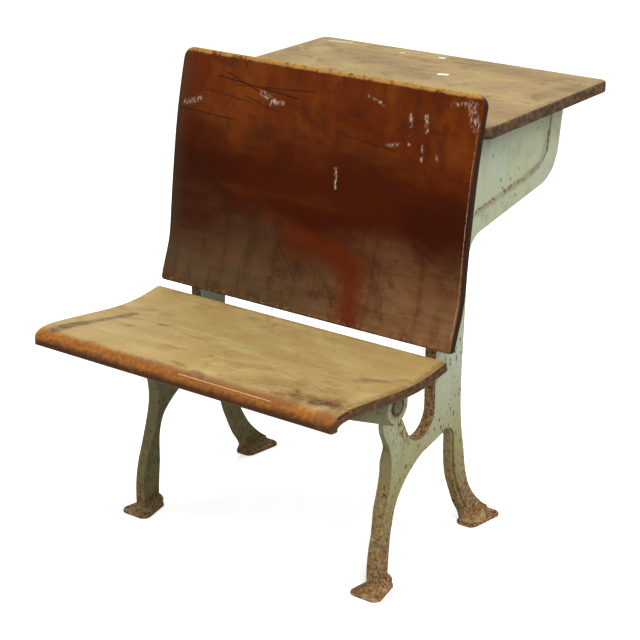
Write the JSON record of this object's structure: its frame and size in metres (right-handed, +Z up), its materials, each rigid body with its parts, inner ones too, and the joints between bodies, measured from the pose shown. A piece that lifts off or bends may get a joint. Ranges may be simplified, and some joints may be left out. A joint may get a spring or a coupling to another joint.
{
  "type": "school desk with folding seat",
  "caption": "Old school desk: cast iron side standards carry a folding seat and bent back in front, and a book-box desk behind",
  "frame": {"origin": "on the floor, in the middle of the desk's own box: midway between the two side castings and midway between the seat's front edge and the desk top's rear edge", "axes": "+Z up, -Y towards the front of the folding seat, +Y towards the pupil behind, +X to the right of someone looking at the seat from the front"},
  "size_m": [0.56, 0.757, 0.7302],
  "materials": {
    "painted_casting": "worn sage green paint over rusty cast iron",
    "bare_steel": "dark, rusty",
    "seat_wood": "worn varnish on honey-coloured plywood",
    "back_wood": "dark reddish varnish, scratched",
    "desk_wood": "weathered, most varnish worn off",
    "shelf_wood": "dull, unvarnished"
  },
  "bodies": {
    "frame": {"back_board": "back_wood", "desk_top": "desk_wood", "book_shelf": "shelf_wood", "standard_left": "painted_casting", "standard_right": "painted_casting", "pivot_bolt_left": "bare_steel", "pivot_bolt_right": "bare_steel", "pivot_washer_left": "bare_steel", "pivot_washer_right": "bare_steel", "pivot_nut_left": "bare_steel", "pivot_nut_right": "bare_steel", "back_screws_left": "bare_steel", "back_screws_right": "bare_steel", "desk_screws_left": "bare_steel", "desk_screws_right": "bare_steel", "shelf_screws_left": "bare_steel", "shelf_screws_right": "bare_steel"},
    "seat": {"seat_board": "seat_wood", "seat_arm_left": "painted_casting", "seat_arm_right": "painted_casting", "seat_screws_left": "bare_steel", "seat_screws_right": "bare_steel"}
  },
  "joints": [
    {"name": "seat_fold", "type": "hinge", "parent": "frame", "child": "seat", "pos_m": [0, -0.15353, 0.29], "axis": [-1, 0, 0], "range_deg": [0, 90]}
  ]
}
